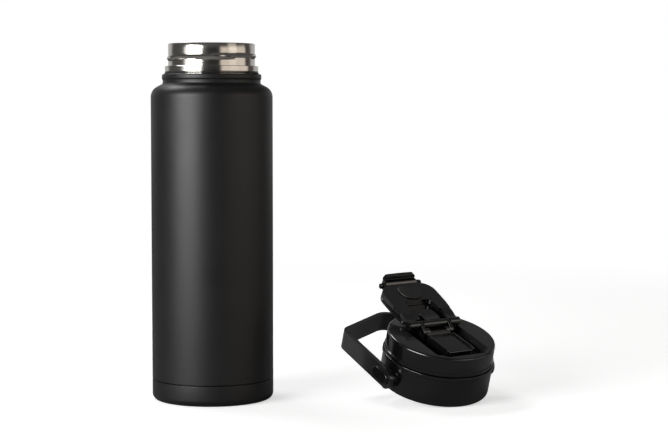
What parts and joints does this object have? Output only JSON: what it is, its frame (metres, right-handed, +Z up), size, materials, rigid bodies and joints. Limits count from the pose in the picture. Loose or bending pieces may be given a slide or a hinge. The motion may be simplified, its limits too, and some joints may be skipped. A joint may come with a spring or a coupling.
{
  "type": "growler",
  "caption": "Matt black insulated wide-mouth growler with a threaded steel neck, and its screw lid with flip cover, folding mouthpiece and strap handle set down beside it",
  "frame": {"origin": "centre of the bottle's flat foot, on the surface it stands on", "axes": "+Z up along the bottle; +X from the bottle towards the lid that lies beside it; +Y away from the viewer"},
  "size_m": [0.2594, 0.1221, 0.2669],
  "materials": {
    "black_coat": "matt black powder coat",
    "black_plastic": "black satin-gloss moulded polypropylene",
    "steel": "stainless steel turned and brushed round its axis",
    "silicone": "black silicone",
    "clear_plastic": "frosted translucent polypropylene"
  },
  "bodies": {
    "bottle": {"bottle_shell": "black_coat", "base_cup": "black_coat", "outer_end_plate": "black_plastic", "vacuum_getter": "steel", "inner_liner": "steel", "threaded_neck": "steel", "neck_gasket": "silicone"},
    "lid": {"lid_skirt": "black_plastic", "thread_insert": "black_plastic", "plug_disc": "black_plastic", "neck_seal": "silicone", "drinking_tube": "clear_plastic", "mouthpiece_seat": "silicone", "vent_valve": "silicone", "lid_cap": "black_plastic", "hinge_bracket": "black_plastic", "handle_pivot_pin_left": "steel", "handle_pivot_pin_right": "steel", "mouthpiece_pin": "steel", "cover_pin_left": "steel", "cover_pin_right": "steel"},
    "handle": {"handle_strap": "black_plastic", "handle_pivot_cap_left": "black_plastic", "handle_pivot_cap_right": "black_plastic"},
    "mouthpiece_body": {"mouthpiece": "black_plastic"},
    "cover": {"cover_frame": "black_plastic", "cover_shell": "black_plastic", "cover_tab": "black_plastic", "cover_seal": "silicone", "latch_pin": "steel"},
    "latch": {"latch_clip": "black_plastic"}
  },
  "joints": [
    {"name": "lid_lift", "type": "slide", "parent": "bottle", "child": "lid", "axis": [0, 0, 1], "range_m": [0, 0.3]},
    {"name": "handle_pivot", "type": "hinge", "parent": "lid", "child": "handle", "pos_m": [0.16936, -0.01253, 0.02187], "axis": [0.8534, 0.5202, 0.0331], "range_deg": [-77, 17]},
    {"name": "cover_hinge", "type": "hinge", "parent": "lid", "child": "cover", "pos_m": [0.16639, -0.00995, 0.05791], "axis": [0.8534, 0.5202, 0.0331], "range_deg": [0, 169]},
    {"name": "mouthpiece_hinge", "type": "hinge", "parent": "lid", "child": "mouthpiece_body", "pos_m": [0.16835, -0.01282, 0.05253], "axis": [0.8534, 0.5202, 0.0331], "range_deg": [-90, 0]},
    {"name": "cover_latch", "type": "hinge", "parent": "cover", "child": "latch", "pos_m": [0.14263, 0.0274, 0.08364], "axis": [0.8534, 0.5202, 0.0331], "range_deg": [-40, 0]}
  ]
}
